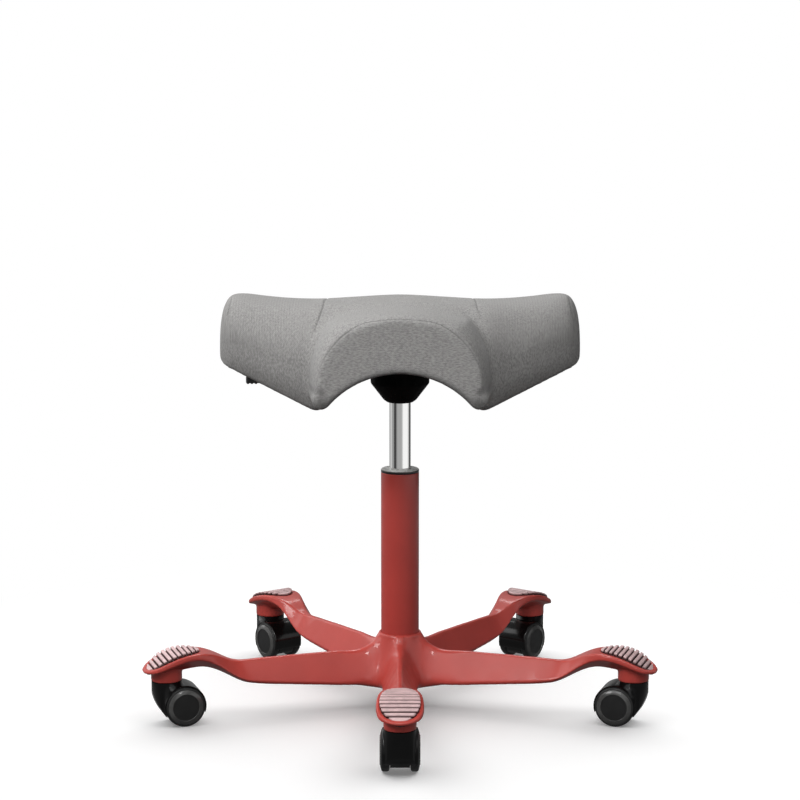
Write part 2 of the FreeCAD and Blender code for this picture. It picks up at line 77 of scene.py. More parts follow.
# mesh tools
weldGap = {"solid": 2e-5, "turned": 1e-6}
sharpRim = math.radians(50)
relaxStep = 0.5  # share of the way to its neighbours' middle that a point moves in a round


def linked(name, mesh, *finishes):
    piece = bpy.data.objects.new(name, mesh)
    scene.collection.objects.link(piece)
    if finishes:
        mesh.materials.clear()
    for finish in finishes:
        mesh.materials.append(finish)
    return piece


def shadeSmooth(mesh):
    mesh.polygons.foreach_set("use_smooth", [True] * len(mesh.polygons))
    mesh.update()
    return mesh


def weldedCopy(nodeName):
    mesh = nodes[nodeName].data.copy()
    mesh.materials.clear()
    work = bmesh.new()
    work.from_mesh(mesh)
    bmesh.ops.remove_doubles(work, verts=work.verts, dist=weldGap["solid"])
    work.to_mesh(mesh)
    work.free()
    return mesh


def joinedCopy(*nodeNames):
    mesh = bpy.data.meshes.new("joined")
    work = bmesh.new()
    for name in nodeNames:
        work.from_mesh(weldedCopy(name))
    work.to_mesh(mesh)
    work.free()
    return mesh


def baked(piece):
    depsgraph = bpy.context.evaluated_depsgraph_get()
    return bpy.data.meshes.new_from_object(piece.evaluated_get(depsgraph))


def withModifier(mesh, kind, **settings):
    piece = linked("working", mesh)
    modifier = piece.modifiers.new("working", kind)
    for key, value in settings.items():
        setattr(modifier, key, value)
    made = baked(piece)
    bpy.data.objects.remove(piece)
    return made


def voxelised(mesh, size):
    return shadeSmooth(withModifier(mesh, "REMESH", mode="VOXEL", voxel_size=size))


def subdivided(mesh, levels):
    return withModifier(mesh, "SUBSURF", levels=levels, render_levels=levels)


def pointsOf(mesh):
    flat = np.empty(len(mesh.vertices) * 3)
    mesh.vertices.foreach_get("co", flat)
    return flat.reshape(-1, 3)


def normalsOf(mesh):
    flat = np.empty(len(mesh.vertices) * 3)
    mesh.vertices.foreach_get("normal", flat)
    return flat.reshape(-1, 3)


def setPoints(mesh, points):
    mesh.vertices.foreach_set("co", np.asarray(points, float).ravel())
    mesh.update()


def setShare(mesh, name, values):
    attribute = mesh.attributes.new(name, "FLOAT", "POINT")
    attribute.data.foreach_set("value", np.asarray(values, np.float32))


def shellOf(mesh):
    return BVHTree.FromPolygons([v.co for v in mesh.vertices], [p.vertices for p in mesh.polygons])


def snapTo(mesh, shell, weight=None):
    points = pointsOf(mesh)
    nearest = np.array([shell.find_nearest(Vector(point))[0] for point in points])
    setPoints(mesh, nearest if weight is None else points + weight[:, None] * (nearest - points))


def smoothStep(value, start, end):
    share = np.clip((value - start) / (end - start), 0, 1)
    return share * share * (3 - 2 * share)


# evens out a dense mesh; with hollowsOnly it fills inside corners into fillets and leaves ridges crisp
def relax(mesh, rounds, weight=None, hollowsOnly=False):
    points = pointsOf(mesh)
    count = len(points)
    ends = np.empty(len(mesh.edges) * 2, int)
    mesh.edges.foreach_get("vertices", ends)
    first, second = ends.reshape(-1, 2).T
    degree = np.maximum(np.bincount(ends, minlength=count), 1)[:, None]
    strength = np.ones(count) if weight is None else weight
    for _ in range(rounds):
        totals = []
        for line in points.T:
            totals.append(np.bincount(first, line[second], count) + np.bincount(second, line[first], count))
        step = np.stack(totals, axis=1) / degree - points
        if hollowsOnly:
            setPoints(mesh, points)
            outward = np.einsum("ij,ij->i", step, normalsOf(mesh))
            step = step * (outward > 0)[:, None]
        points = points + relaxStep * strength[:, None] * step
    setPoints(mesh, points)
    return mesh


# profile is (radius, along, finish number of the band that follows) round the Z axis
def lathe(name, profile, steps=128):
    turns = np.linspace(0, 2 * math.pi, steps, endpoint=False)
    points = [(row[0] * math.cos(t), row[0] * math.sin(t), row[1]) for row in profile for t in turns]
    faces = []
    bands = []
    for row in range(len(profile) - 1):
        for step in range(steps):
            after = (step + 1) % steps
            faces.append((row * steps + step, row * steps + after,
                          (row + 1) * steps + after, (row + 1) * steps + step))
            bands.append(profile[row][2] if len(profile[row]) > 2 else 0)
    mesh = bpy.data.meshes.new(name)
    mesh.from_pydata(points, [], faces)
    mesh.polygons.foreach_set("material_index", bands)
    work = bmesh.new()
    work.from_mesh(mesh)
    bmesh.ops.remove_doubles(work, verts=work.verts, dist=weldGap["turned"])
    bmesh.ops.recalc_face_normals(work, faces=work.faces)
    work.to_mesh(mesh)
    work.free()
    shadeSmooth(mesh)
    mesh.set_sharp_from_angle(angle=sharpRim)
    return mesh


def placed(piece, nodeNames, body):
    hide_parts(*nodeNames)
    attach(piece, body)
    return piece


# finish tools
def startFinish(name, colour, roughness, metal=0.0):
    finish = bpy.data.materials.new(name)
    finish.use_nodes = True
    tree = finish.node_tree
    shader = tree.nodes["Principled BSDF"]
    shader.inputs["Base Color"].default_value = (*colour, 1)
    shader.inputs["Roughness"].default_value = roughness
    shader.inputs["Metallic"].default_value = metal
    return finish, tree, shader


def addNode(tree, kind, **settings):
    made = tree.nodes.new(kind)
    for key, value in settings.items():
        setattr(made, key, value)
    return made


def objectSpot(tree, stretch=(1, 1, 1)):
    spot = addNode(tree, "ShaderNodeTexCoord")
    mapping = addNode(tree, "ShaderNodeMapping")
    mapping.inputs["Scale"].default_value = stretch
    tree.links.new(spot.outputs["Object"], mapping.inputs["Vector"])
    return mapping.outputs["Vector"]


def noiseOn(tree, scale, detail=3.0, roughness=0.5, stretch=(1, 1, 1)):
    noise = addNode(tree, "ShaderNodeTexNoise")
    noise.inputs["Scale"].default_value = scale
    noise.inputs["Detail"].default_value = detail
    noise.inputs["Roughness"].default_value = roughness
    tree.links.new(objectSpot(tree, stretch), noise.inputs["Vector"])
    return noise.outputs["Fac"]


def shareFrom(tree, name):
    return addNode(tree, "ShaderNodeAttribute", attribute_name=name).outputs["Fac"]


def spreadTo(tree, value, socket, low, high, fromLow=0.3, fromHigh=0.7):
    spread = addNode(tree, "ShaderNodeMapRange")
    spread.inputs["From Min"].default_value = fromLow
    spread.inputs["From Max"].default_value = fromHigh
    spread.inputs["To Min"].default_value = low
    spread.inputs["To Max"].default_value = high
    tree.links.new(value, spread.inputs["Value"])
    tree.links.new(spread.outputs["Result"], socket)


def rampOf(tree, value, dark, light, low=0.35, high=0.65):
    ramp = addNode(tree, "ShaderNodeValToRGB")
    ramp.color_ramp.elements[0].position = low
    ramp.color_ramp.elements[1].position = high
    ramp.color_ramp.elements[0].color = (*dark, 1)
    ramp.color_ramp.elements[1].color = (*light, 1)
    tree.links.new(value, ramp.inputs["Fac"])
    return ramp.outputs["Color"]


def scaled(values, share):
    return tuple(share * value for value in values)


# a colour that wanders between a darker and a lighter shade of itself
def mottled(tree, colour, scale, shades):
    darker, lighter = shades
    return rampOf(tree, noiseOn(tree, scale, 4), scaled(colour, darker), scaled(colour, lighter))


def worked(tree, operation, *values):
    made = addNode(tree, "ShaderNodeMath", operation=operation)
    for socket, value in zip(made.inputs, values):
        if isinstance(value, (int, float)):
            socket.default_value = value
        else:
            tree.links.new(value, socket)
    return made.outputs[0]


def mixedNumber(tree, share, first, second):
    mix = addNode(tree, "ShaderNodeMix", data_type="FLOAT")
    tree.links.new(share, mix.inputs[0])
    tree.links.new(first, mix.inputs[2])
    tree.links.new(second, mix.inputs[3])
    return mix.outputs[0]


def tintedBy(tree, share, colour, darker):
    mix = addNode(tree, "ShaderNodeMix", data_type="RGBA")
    tree.links.new(share, mix.inputs[0])
    tree.links.new(colour, mix.inputs[6])
    mix.inputs[7].default_value = (*darker, 1)
    return mix.outputs[2]


def bumpFrom(tree, value, shader, depth, strength=1.0, under=None):
    bump = addNode(tree, "ShaderNodeBump")
    bump.inputs["Distance"].default_value = depth
    bump.inputs["Strength"].default_value = strength
    tree.links.new(value, bump.inputs["Height"])
    if under:
        tree.links.new(under, bump.inputs["Normal"])
    tree.links.new(bump.outputs["Normal"], shader.inputs["Normal"])
    return bump.outputs["Normal"]


def mixedShader(tree, share, first, second):
    mix = addNode(tree, "ShaderNodeMixShader")
    tree.links.new(share, mix.inputs["Fac"])
    tree.links.new(first, mix.inputs[1])
    tree.links.new(second, mix.inputs[2])
    return mix.outputs[0]


# red satin paint with a faint orange peel
paint = {
    # painted light: the casting's red is a lighter copy of the tube's, standing in for light the arms get
    # from above
    "casting": (0.532, 0.061, 0.047),
    "tube": (0.500, 0.054, 0.042),
    "mottleScale": 14,
    "shades": (0.93, 1.05),
    "roughness": (0.42, 0.52),
    "roughScale": 60,
    "shine": 0.3,
    "coat": 0.4,
    "coatRoughness": 0.13,
    "peel": 0.00005,
    "peelScale": 420,
}


def redPaint(name, colour):
    finish, tree, shader = startFinish(name, colour, sum(paint["roughness"]) / 2)
    shader.inputs["Specular IOR Level"].default_value = paint["shine"]
    shader.inputs["Coat Weight"].default_value = paint["coat"]
    shader.inputs["Coat Roughness"].default_value = paint["coatRoughness"]
    mottle = mottled(tree, colour, paint["mottleScale"], paint["shades"])
    tree.links.new(mottle, shader.inputs["Base Color"])
    spreadTo(tree, noiseOn(tree, paint["roughScale"], 4), shader.inputs["Roughness"], *paint["roughness"])
    bumpFrom(tree, noiseOn(tree, paint["peelScale"], 2), shader, paint["peel"])
    return finish


plastic = {"mottleScale": 45, "roughScale": 120, "shades": (0.8, 1.25)}


def mouldedPlastic(name, colour, roughness, grain=0.00004, grainScale=900, shine=0.5):
    finish, tree, shader = startFinish(name, colour, roughness)
    shader.inputs["Specular IOR Level"].default_value = shine
    mottle = mottled(tree, colour, plastic["mottleScale"], plastic["shades"])
    tree.links.new(mottle, shader.inputs["Base Color"])
    spreadTo(tree, noiseOn(tree, plastic["roughScale"], 5), shader.inputs["Roughness"],
             *scaled(plastic["shades"], roughness))
    bumpFrom(tree, noiseOn(tree, grainScale, 3), shader, grain)
    return finish


metal = {"lineScale": 300, "lineRoughness": 0.6, "shades": (0.8, 1.3)}


def bareMetal(name, colour, roughness, along=(1, 1, 1), brush=0.00001):
    finish, tree, shader = startFinish(name, colour, roughness, 1.0)
    lines = noiseOn(tree, metal["lineScale"], 3, metal["lineRoughness"], along)
    spreadTo(tree, lines, shader.inputs["Roughness"], *scaled(metal["shades"], roughness))
    bumpFrom(tree, lines, shader, brush)
    return finish


# ribbed rubber: pale crests, dark red at the bottom of the grooves, deepened with painted shade
rubber = {
    "crest": (0.74, 0.52, 0.52),
    "valley": (0.05, 0.009, 0.008),
    "mottleScale": 90,
    "shades": (0.88, 1.1),
    "plainRoughness": 0.42,
    "roughness": (0.34, 0.52),
    "roughScale": 150,
    "grain": 0.00006,
    "grainScale": 700,
}


def ribbedRubber(name):
    finish, tree, shader = startFinish(name, rubber["crest"], rubber["plainRoughness"])
    pale = mottled(tree, rubber["crest"], rubber["mottleScale"], rubber["shades"])
    # the grooves' near-black red is partly the rubber's colour and partly painted shade
    ribbed = tintedBy(tree, shareFrom(tree, "groove"), pale, rubber["valley"])
    tree.links.new(ribbed, shader.inputs["Base Color"])
    spreadTo(tree, noiseOn(tree, rubber["roughScale"], 4), shader.inputs["Roughness"], *rubber["roughness"])
    bumpFrom(tree, noiseOn(tree, rubber["grainScale"], 3), shader, rubber["grain"])
    return finish


redCasting = redPaint("red_casting_paint", paint["casting"])
redTube = redPaint("red_tube_paint", paint["tube"])
padRubber = ribbedRubber("foot_pad_rubber")
castorNylon = mouldedPlastic("castor_hood_nylon", (0.0030, 0.0030, 0.0031), 0.17, 0.00001, shine=0.28)
# painted reflection: the bevelled ring's nylon is a much lighter copy of the disc's
wheelNylon = mouldedPlastic("wheel_disc_nylon", (0.0062, 0.0062, 0.0063), 0.42, 0.00002)
ringNylonPaintedReflection = mouldedPlastic("wheel_ring_nylon_painted_reflection", (0.075, 0.075, 0.073), 0.22, 0.00001)
softTread = mouldedPlastic("castor_tread", (0.006, 0.006, 0.006), 0.6, 0.0001, 500)
darkPlastic = mouldedPlastic("dark_plastic", (0.006, 0.006, 0.006), 0.4)
darkCasting = mouldedPlastic("dark_casting", (0.0018, 0.0018, 0.0018), 0.6, 0.00008, 500, 0.04)
paleCap = mouldedPlastic("pale_cap_plastic", (0.80, 0.81, 0.78), 0.3)
brightSteel = bareMetal("bright_tube_steel", (0.80, 0.80, 0.79), 0.04, (1, 1, 0.02), 0.000003)
plainSteel = bareMetal("plain_steel", (0.55, 0.55, 0.55), 0.3)
stopRubber = mouldedPlastic("stop_rubber", (0.02, 0.02, 0.02), 0.65)
print("finishes made")


# grey melange cloth: yarn streaks down the wings, across the front panel, and a plain weave
cloth = {
    "colour": (0.355, 0.348, 0.341),
    "downStreaks": (520, 520, 300),
    "longStreaks": (620, 620, 35),
    "crossStreaks": (260, 400, 760),
    "gain": {"down": 1.45, "long": 1.0, "cross": 1.4},
    "contrast": (0.74, 1.24),
    "contrastSpan": (0.25, 0.75),
    "ribs": 1800,
    "ribDepth": 0.05,
    "paintedShadeLevel": 0.35,
    "roughness": 0.88,
    "shine": 0.2,
    "sheen": 0.1,
    "sheenRoughness": 0.5,
    "nap": 0.0002,
    "yarn": 0.0013,
    "depth": 0.00016,
    "bumpStrength": 0.5,
}


def yarnTone(tree):
    streaks = {}
    for kind, gain in cloth["gain"].items():  # noise about a half, spread wider or narrower
        noise = noiseOn(tree, 1, 2, 0.5, cloth[f"{kind}Streaks"])
        streaks[kind] = worked(tree, "MULTIPLY_ADD", noise, gain, 0.5 - 0.5 * gain)
    wings = mixedNumber(tree, shareFrom(tree, "streaked"), streaks["down"], streaks["long"])
    yarns = mixedNumber(tree, shareFrom(tree, "front"), wings, streaks["cross"])
    upright = addNode(tree, "ShaderNodeSeparateXYZ")
    tree.links.new(objectSpot(tree, (cloth["ribs"], 0, 0)), upright.inputs["Vector"])
    ribs = worked(tree, "SINE", upright.outputs["X"])
    ribShare = worked(tree, "MULTIPLY", shareFrom(tree, "streaked"), cloth["ribDepth"])
    return worked(tree, "ADD", yarns, worked(tree, "MULTIPLY", ribShare, ribs))


def plainWeave(tree):
    split = addNode(tree, "ShaderNodeSeparateXYZ")
    tree.links.new(objectSpot(tree, (math.pi / cloth["yarn"],) * 3), split.inputs["Vector"])
    waves = [worked(tree, "SINE", split.outputs[axis]) for axis in "XYZ"]
    return worked(tree, "MULTIPLY", waves[0], worked(tree, "ADD", waves[1], waves[2]))


def greyCloth(name):
    colour = cloth["colour"]
    finish, tree, shader = startFinish(name, colour, cloth["roughness"])
    tone = yarnTone(tree)
    low, high = cloth["contrast"]
    heather = rampOf(tree, tone, scaled(colour, low), scaled(colour, high), *cloth["contrastSpan"])
    # the seam share darkens the cloth: painted shade along the seams, at the hems and at the tips
    sewn = tintedBy(tree, shareFrom(tree, "seam"), heather, scaled(colour, cloth["paintedShadeLevel"]))
    tree.links.new(sewn, shader.inputs["Base Color"])
    shader.inputs["Sheen Weight"].default_value = cloth["sheen"]
    shader.inputs["Sheen Roughness"].default_value = cloth["sheenRoughness"]
    shader.inputs["Specular IOR Level"].default_value = cloth["shine"]
    nap = bumpFrom(tree, tone, shader, cloth["nap"], cloth["bumpStrength"])
    bumpFrom(tree, plainWeave(tree), shader, cloth["depth"], cloth["bumpStrength"], nap)
    return finish


seatCloth = greyCloth("grey_seat_cloth")

# sewn saddle cover: voxelised on the solid, sewn down at its seams and blown up by pressure
saddle = {
    "voxel": 0.0040,
    "evenRounds": 2,
    "sharp": math.radians(18),
    "valleyRounds": 60,
    "valleyReach": (0.012, 0.040),
    "valleyFront": -0.05,
    "valleyX": 0.06,
    "fewestEdges": 4,
    "pinned": 0.006,
    "freed": 0.030,
    "underneath": (0.0, 0.4),
    "pressure": 4.0,
    "stiffness": {"tension": 40, "compression": 40, "shear": 20, "bending": 6},
    "frames": 20,
    "swellLimit": 0.0025,
    "swollenRounds": 4,
    "refined": 0.006,
    "refinedRounds": 2,
    "seamStep": 0.002,
    "grooveWidth": {"left": 0.0015, "right": 0.0015, "front": 0.0016, "end": 0.0018, "tip": 0.0014},
    "grooveDepth": {"left": 0.0010, "right": 0.0008, "front": 0.0009, "end": 0.0005, "tip": 0.0006},
    # painted shade along each seam, beside its groove
    "paintedShadeWidth": {"left": 0.0010, "right": 0.0010, "front": 0.0010, "end": 0.0010, "tip": 0.0012},
    "paintedShadeDepth": {"left": 0.75, "right": 0.60, "front": 0.80, "end": 0.35, "tip": 0.55},
    "fade": {"left": (0.495, 0.525), "right": (0.524, 0.540), "front": (0.470, 0.530),
             "end": (0.40, 0.41), "tip": (0.495, 0.535)},
    "lowStrength": {"left": 0.0, "right": 0.0, "front": 0.25, "end": 1.0, "tip": 0.3},
    "puckerPitch": 0.0085,
    "puckerDepth": 0.00025,
    "puckerReach": 0.006,
    "puckerZ": (0.520, 0.532),
    "puckerWander": {"turn": 1.7, "pace": 90},
    "frontPanel": {"y": (0.172, 0.182), "facing": (0.6, 0.9)},
    "streaked": {"x": (0.105, 0.125), "z": (0.470, 0.515)},
    "endX": 0.222,
    "hemFacing": -0.4,
    "hemTop": 0.50,
    # painted shade: the hems, the lower wings where they turn under and the panel's lower tips are darkened
    # in the cloth's colour
    "paintedHemShade": 0.85,
    "hemWidth": 0.0058,
    "turnedUnder": {"from": (0.100, 0.130), "width": 0.055, "depth": 0.34},
    "tipPlace": (0.1075, (0.10, 0.14), 0.430),
    "tipReach": 0.018,
    "tipRounds": 30,
    "paintedTipShade": {"place": (0.096, (0.10, 0.14), 0.431), "width": 0.010, "depth": 0.85},
    "shoulder": {"x": (0.040, 0.055, 0.145, 0.165), "z": (0.435, 0.450, 0.540, 0.552),
                 "y": (-0.05, -0.02), "clear": (0.008, 0.020), "rounds": 12},
}
# right halves of the drawn seams, as seen from the camera on an upright plane: (x, z)
frontSeam = {
    "plane": -0.186,
    "evened": 40,
    "points": [(0, 0.537), (0.0187, 0.5363), (0.0483, 0.5324), (0.0734, 0.5147), (0.090, 0.495),
               (0.099, 0.477), (0.1035, 0.459), (0.1028, 0.444), (0.096, 0.4355)],
}
wingSeam = {
    "plane": -0.110,
    "evened": 40,
    "points": [(0.1125, 0.420), (0.118, 0.439), (0.119, 0.463), (0.117, 0.485), (0.110, 0.509),
               (0.0996, 0.533), (0.096, 0.545)],
    "rearX": 0.088,
    "rearY": 0.160,
    "rearLow": 0.470,
    "overTop": 120,
    "rearDrop": 0.003,
}
tipSeam = {
    "plane": -0.030,
    "evened": 10,
    "points": [(0.2155, 0.551), (0.2178, 0.540), (0.2206, 0.5304), (0.2251, 0.509), (0.226, 0.496),
               (0.2242, 0.484)],
}


def chainsOf(pairs):
    links = {}
    for a, b in pairs:
        links.setdefault(a, []).append(b)
        links.setdefault(b, []).append(a)
    chains = []
    left = set(links)
    while left:
        loose = [v for v in left if len(links[v]) == 1]
        current = min(loose) if loose else min(left)
        chain = [current]
        left.discard(current)
        while True:
            onward = [v for v in links[current] if v in left]
            if not onward:
                break
            current = min(onward)
            left.discard(current)
            chain.append(current)
        chains.append(chain)
    return chains


# the solid's own sharp edges: the hollow beside each wing, the rim of each wing's end, and the hems below
def creaseLines(mesh):
    work = bmesh.new()
    work.from_mesh(mesh)
    work.verts.ensure_lookup_table()
    found = {"valley": [], "end": [], "hem": [], "edge": []}
    for edge in work.edges:
        if len(edge.link_faces) != 2:
            continue
        turn = edge.calc_face_angle_signed(0)
        middle = (edge.verts[0].co + edge.verts[1].co) / 2
        pair = (edge.verts[0].index, edge.verts[1].index)
        inFront = middle.y < saddle["valleyFront"] and abs(middle.x) > saddle["valleyX"]
        if turn < -saddle["sharp"] and inFront:
            found["valley"].append(pair)
        elif turn > saddle["sharp"] and abs(middle.x) > saddle["endX"]:
            found["end"].append(pair)
        elif turn > saddle["sharp"]:
            below = min(face.normal.z for face in edge.link_faces) < saddle["hemFacing"]
            under = below and middle.z < saddle["hemTop"]
            found["hem" if under else "edge"].append(pair)
    lines = {}
    for kind, pairs in found.items():
        chains = [chain for chain in chainsOf(pairs) if len(chain) > saddle["fewestEdges"]]
        lines[kind] = [np.array([work.verts[v].co for v in chain]) for chain in chains]
    work.free()
    return lines


def bell(away, width):
    return np.exp(-(away / width) ** 2)


def densified(line, step):
    gaps = np.linalg.norm(np.diff(line, axis=0), axis=1)
    along = np.concatenate([[0], np.cumsum(gaps)])
    count = max(2, int(along[-1] / step))
    spots = np.linspace(0, along[-1], count)
    return np.stack([np.interp(spots, along, line[:, axis]) for axis in range(3)], axis=1)


# distance to the nearest seam of a kind, and how far along it that is
def seamDistance(mesh, several, step=0.001):
    samples = np.concatenate([densified(line, step) for line in several])
    tree = KDTree(len(samples))
    for index, sample in enumerate(samples):
        tree.insert(sample, index)
    tree.balance()
    found = [tree.find(point) for point in pointsOf(mesh)]
    return np.array([spot[2] for spot in found]), step * np.array([spot[1] for spot in found])


def inflate(mesh, holdDown):
    start = pointsOf(mesh)
    piece = linked("inflating", mesh)
    group = piece.vertex_groups.new(name="sewn")
    for index, hold in enumerate(holdDown):
        group.add([index], float(hold), "REPLACE")
    modifier = piece.modifiers.new("cloth", "CLOTH")
    settings = modifier.settings
    settings.use_pressure = True
    settings.uniform_pressure_force = saddle["pressure"]
    settings.vertex_group_mass = "sewn"
    settings.pin_stiffness = 1.0
    for kind, stiffness in saddle["stiffness"].items():
        setattr(settings, f"{kind}_stiffness", stiffness)
    settings.effector_weights.gravity = 0
    modifier.collision_settings.use_collision = False
    modifier.point_cache.frame_end = saddle["frames"]
    for step in range(1, saddle["frames"] + 1):
        scene.frame_set(step)
    made = baked(piece)
    scene.frame_set(1)
    bpy.data.objects.remove(piece)
    move = pointsOf(made) - start
    length = np.linalg.norm(move, axis=1)
    share = np.minimum(1, saddle["swellLimit"] / np.maximum(length, 1e-9))
    print("cloth moved up to", round(float(length.max()), 4), "mean", round(float(length.mean()), 4))
    setPoints(made, start + move * share[:, None])
    return made


# splits the faces along a seam so that its groove has enough points
def refinedNear(mesh, away):
    work = bmesh.new()
    work.from_mesh(mesh)
    near = [edge for edge in work.edges if max(away[v.index] for v in edge.verts) < saddle["refined"]]
    bmesh.ops.subdivide_edges(work, edges=near, cuts=1, use_grid_fill=True)
    work.to_mesh(mesh)
    work.free()
    return shadeSmooth(mesh)


# a drawn seam laid on the cover: seen from the camera, and for a wing on over the top to the rear
def seamOnCover(shell, seam, side):
    eye = Vector(view["place"])
    line = []
    drawn = np.array([(side * x, seam["plane"], z) for x, z in seam["points"]])
    spots = densified(drawn, saddle["seamStep"])
    for _ in range(seam["evened"]):
        spots[1:-1] = (spots[:-2] + 2 * spots[1:-1] + spots[2:]) / 4
    for spot in spots:
        hit = shell.ray_cast(eye, (Vector(spot) - eye).normalized())[0]
        if hit:
            line.append(hit)
    if "rearX" in seam:
        start = line[-1]
        for share in np.linspace(0, 1, seam["overTop"])[1:]:
            x = start.x + (side * seam["rearX"] - start.x) * smoothStep(share, 0, 1)
            y = start.y + (seam["rearY"] - start.y) * share
            line.append(shell.ray_cast(Vector((x, y, 1)), Vector((0, 0, -1)))[0])
        for z in np.arange(line[-1].z - seam["rearDrop"], seam["rearLow"], -saddle["seamStep"]):
            line.append(shell.ray_cast(Vector((side * seam["rearX"], 1, z)), Vector((0, -1, 0)))[0])
    return np.array([spot for spot in line if spot])


def allSeams(shell, creases):
    ends = [densified(line, saddle["seamStep"]) for line in creases["end"]]
    return {
        "left": [seamOnCover(shell, wingSeam, -1)],
        "right": [seamOnCover(shell, wingSeam, 1)],
        "tip": [seamOnCover(shell, tipSeam, side) for side in (-1, 1)],
        "front": [seamOnCover(shell, frontSeam, side) for side in (-1, 1)],
        "end": [np.array([shell.find_nearest(Vector(spot))[0] for spot in line]) for line in ends],
    }


# 1 where the cover is sewn or drawn tight: near the creases and edges of the solid, and underneath
def heldShare(mesh, creases):
    away = seamDistance(mesh, [line for several in creases.values() for line in several])[0]
    hold = 1 - smoothStep(away, saddle["pinned"], saddle["freed"])
    return np.maximum(hold, smoothStep(-normalsOf(mesh)[:, 2], *saddle["underneath"]))


# 1 at a place near the lower tips of the front panel, on both sides, and less around it
def nearTips(mesh, place, width):
    x, y, z = pointsOf(mesh).T
    away = np.hypot(np.abs(x) - place[0], z - place[2])
    return bell(away, width) * smoothStep(-y, *place[1])


# 1 on the rounded shoulders beside the front panel, fading out before the hems
def shoulderShare(mesh, creases):
    reach = saddle["shoulder"]
    x, y, z = pointsOf(mesh).T
    share = smoothStep(np.abs(x), *reach["x"][:2]) * (1 - smoothStep(np.abs(x), *reach["x"][2:]))
    share *= smoothStep(z, *reach["z"][:2]) * (1 - smoothStep(z, *reach["z"][2:]))
    share *= 1 - smoothStep(y, *reach["y"])
    return share * smoothStep(seamDistance(mesh, creases["hem"])[0], *reach["clear"])


# painted shade on the cloth: dark at the hems, broadly over the lower wings where they turn under, and at
# the lower tips of the front panel
def paintedHemShade(mesh, creases):
    fromHem = seamDistance(mesh, creases["hem"])[0]
    turned = saddle["turnedUnder"]
    tip = saddle["paintedTipShade"]
    onWing = smoothStep(np.abs(pointsOf(mesh)[:, 0]), *turned["from"])
    return np.maximum.reduce([
        saddle["paintedHemShade"] * bell(fromHem, saddle["hemWidth"]),
        turned["depth"] * bell(fromHem, turned["width"]) * onWing,
        tip["depth"] * nearTips(mesh, tip["place"], tip["width"]),
    ])


# small puckers where the top of the front panel is gathered
def puckers(height, away, along):
    wander = saddle["puckerWander"]
    gathered = smoothStep(height, *saddle["puckerZ"]) * bell(away, saddle["puckerReach"])
    sway = wander["turn"] * np.sin(along * wander["pace"])
    swing = np.cos(2 * math.pi * along / saddle["puckerPitch"] + sway)
    return saddle["puckerDepth"] * gathered * swing


def sewSeams(mesh, creases):
    seams = allSeams(shellOf(mesh), creases)
    everySeam = [line for several in seams.values() for line in several]
    refinedNear(mesh, seamDistance(mesh, everySeam)[0])
    away = seamDistance(mesh, everySeam)[0]
    relax(mesh, saddle["refinedRounds"], (away < saddle["refined"]).astype(float))
    points = pointsOf(mesh)
    normals = normalsOf(mesh)
    x, y, z = points.T
    depth = np.zeros(len(points))
    shade = paintedHemShade(mesh, creases)
    for kind, several in seams.items():
        away, along = seamDistance(mesh, several)
        low = saddle["lowStrength"][kind]
        strength = low + (1 - low) * smoothStep(z, *saddle["fade"][kind])
        depth -= strength * saddle["grooveDepth"][kind] * bell(away, saddle["grooveWidth"][kind])
        # painted shade along the seam, as well as its groove
        dark = strength * saddle["paintedShadeDepth"][kind] * bell(away, saddle["paintedShadeWidth"][kind])
        shade = np.maximum(shade, dark)
        if kind == "front":
            depth += puckers(z, away, along)
    setPoints(mesh, points + depth[:, None] * normals)
    panel = saddle["frontPanel"]
    streaked = saddle["streaked"]
    # the seam share carries all the painted shade: seams, hems and tips
    setShare(mesh, "seam", shade)
    setShare(mesh, "front", smoothStep(-y, *panel["y"]) * smoothStep(-normals[:, 1], *panel["facing"]))
    setShare(mesh, "streaked", smoothStep(np.abs(x), *streaked["x"]) * smoothStep(z, *streaked["z"]))


def makeSaddle():
    solid = weldedCopy("seat_cover")
    shell = shellOf(solid)
    creases = creaseLines(solid)
    mesh = voxelised(joinedCopy("seat_cover", "seat_foam"), saddle["voxel"])
    snapTo(mesh, shell)
    hold = heldShare(mesh, creases)
    mesh = inflate(mesh, hold)
    relax(mesh, saddle["swollenRounds"], 1 - hold)
    mesh = subdivided(mesh, 1)
    snapTo(mesh, shell, heldShare(mesh, creases))
    relax(mesh, saddle["evenRounds"])
    valley = 1 - smoothStep(seamDistance(mesh, creases["valley"])[0], *saddle["valleyReach"])
    relax(mesh, saddle["valleyRounds"], valley, hollowsOnly=True)
    relax(mesh, saddle["shoulder"]["rounds"], shoulderShare(mesh, creases))
    relax(mesh, saddle["tipRounds"], nearTips(mesh, saddle["tipPlace"], saddle["tipReach"]))
    sewSeams(mesh, creases)
    mesh.name = "saddle_cover"
    piece = linked("saddle_cover", shadeSmooth(mesh), seatCloth)
    placed(piece, ["seat_cover", "seat_foam"], "seat")
    print("saddle made:", len(mesh.polygons), "faces")


makeSaddle()


# broad fillets round the hub: relaxed on a coarse copy, onto which the fine mesh is drawn
def filletHub(mesh, node, hub):
    coarse = voxelised(weldedCopy(node), hub["voxel"])

    def share(points):
        x, y, z = points.T
        near = 1 - smoothStep(np.hypot(x, y), *hub["reach"])
        return near * smoothStep(hub["top"] - z, *hub["below"])

    relax(coarse, hub["fillRounds"], share(pointsOf(coarse)), hollowsOnly=True)
    relax(coarse, hub["evenRounds"], share(pointsOf(coarse)))
    snapTo(mesh, shellOf(subdivided(coarse, 2)), share(pointsOf(mesh)))
    relax(mesh, hub["fineRounds"], share(pointsOf(mesh)))


# a copy of the solid with softened edges
def softenedMesh(name, node, voxel, edgeRounds, hub=None):
    mesh = voxelised(weldedCopy(node), voxel)
    if hub:
        filletHub(mesh, node, hub)
    relax(mesh, edgeRounds)
    mesh.name = name
    return shadeSmooth(mesh)


